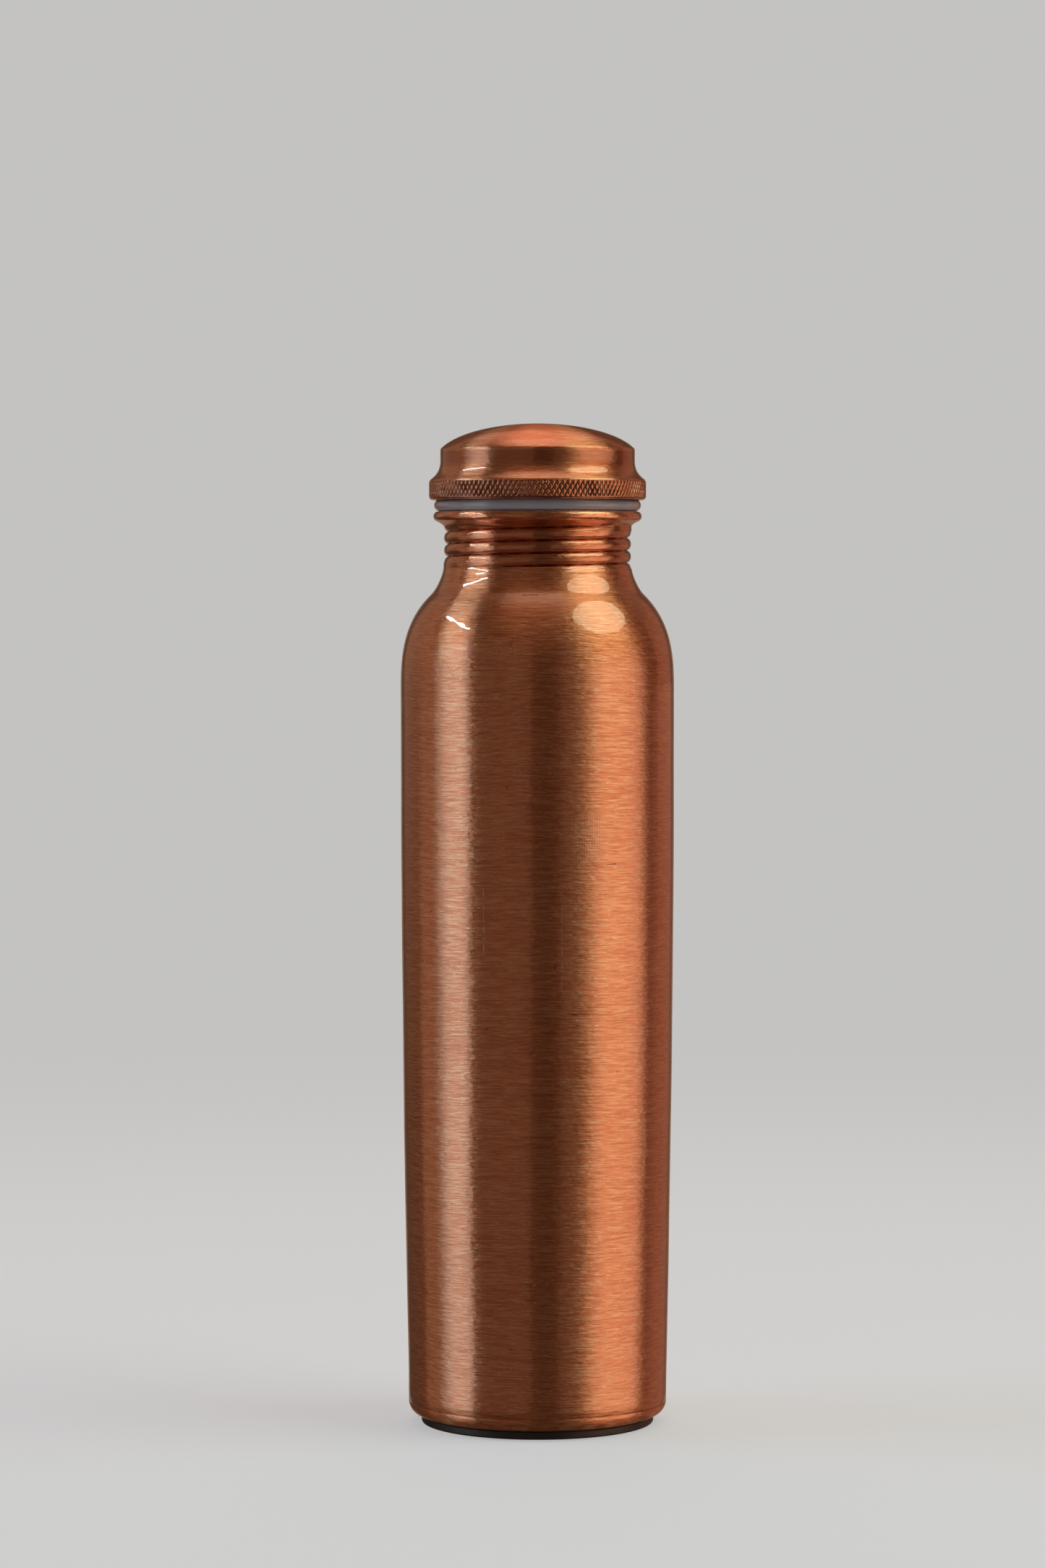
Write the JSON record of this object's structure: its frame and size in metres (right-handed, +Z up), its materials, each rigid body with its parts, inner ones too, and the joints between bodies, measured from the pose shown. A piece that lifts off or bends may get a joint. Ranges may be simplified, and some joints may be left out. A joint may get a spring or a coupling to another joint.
{
  "type": "water bottle",
  "caption": "Slim round metal water bottle with a domed knurled screw cap, silicone seal and rubber foot, for holding and pouring drinking water.",
  "frame": {"origin": "centre of the foot pad's underside, on the surface that the bottle stands on", "axes": "+Z up along the bottle's axis, towards the cap; -Y is the front"},
  "size_m": [0.073, 0.073, 0.2664],
  "materials": {
    "brushed_copper": "copper sheet, finely brushed round the axis, under clear gloss lacquer",
    "plug_copper": "plain turned copper, not lacquered",
    "silicone": "glossy translucent grey-white silicone",
    "black_rubber": "smooth black rubber"
  },
  "bodies": {
    "bottle": {"body_shell": "brushed_copper", "base_cap": "brushed_copper", "base_pad": "black_rubber"},
    "seal": {"seal_ring": "silicone"},
    "cap": {"cap_shell": "brushed_copper", "plug_sleeve": "plug_copper", "plug_end_disc": "plug_copper"}
  },
  "joints": [
    {"name": "cap_rise", "type": "slide", "parent": "bottle", "child": "seal", "axis": [0, 0, 1], "range_m": [0, 0.0166]},
    {"name": "cap_turn", "type": "hinge", "parent": "seal", "child": "cap", "pos_m": [0, 0, 0.24315], "axis": [0, 0, 1], "range_deg": [0, 1800]}
  ],
  "couplings": [
    {"joint": "cap_rise", "follows": "cap_turn", "m_per_rad": 0.00052521}
  ]
}
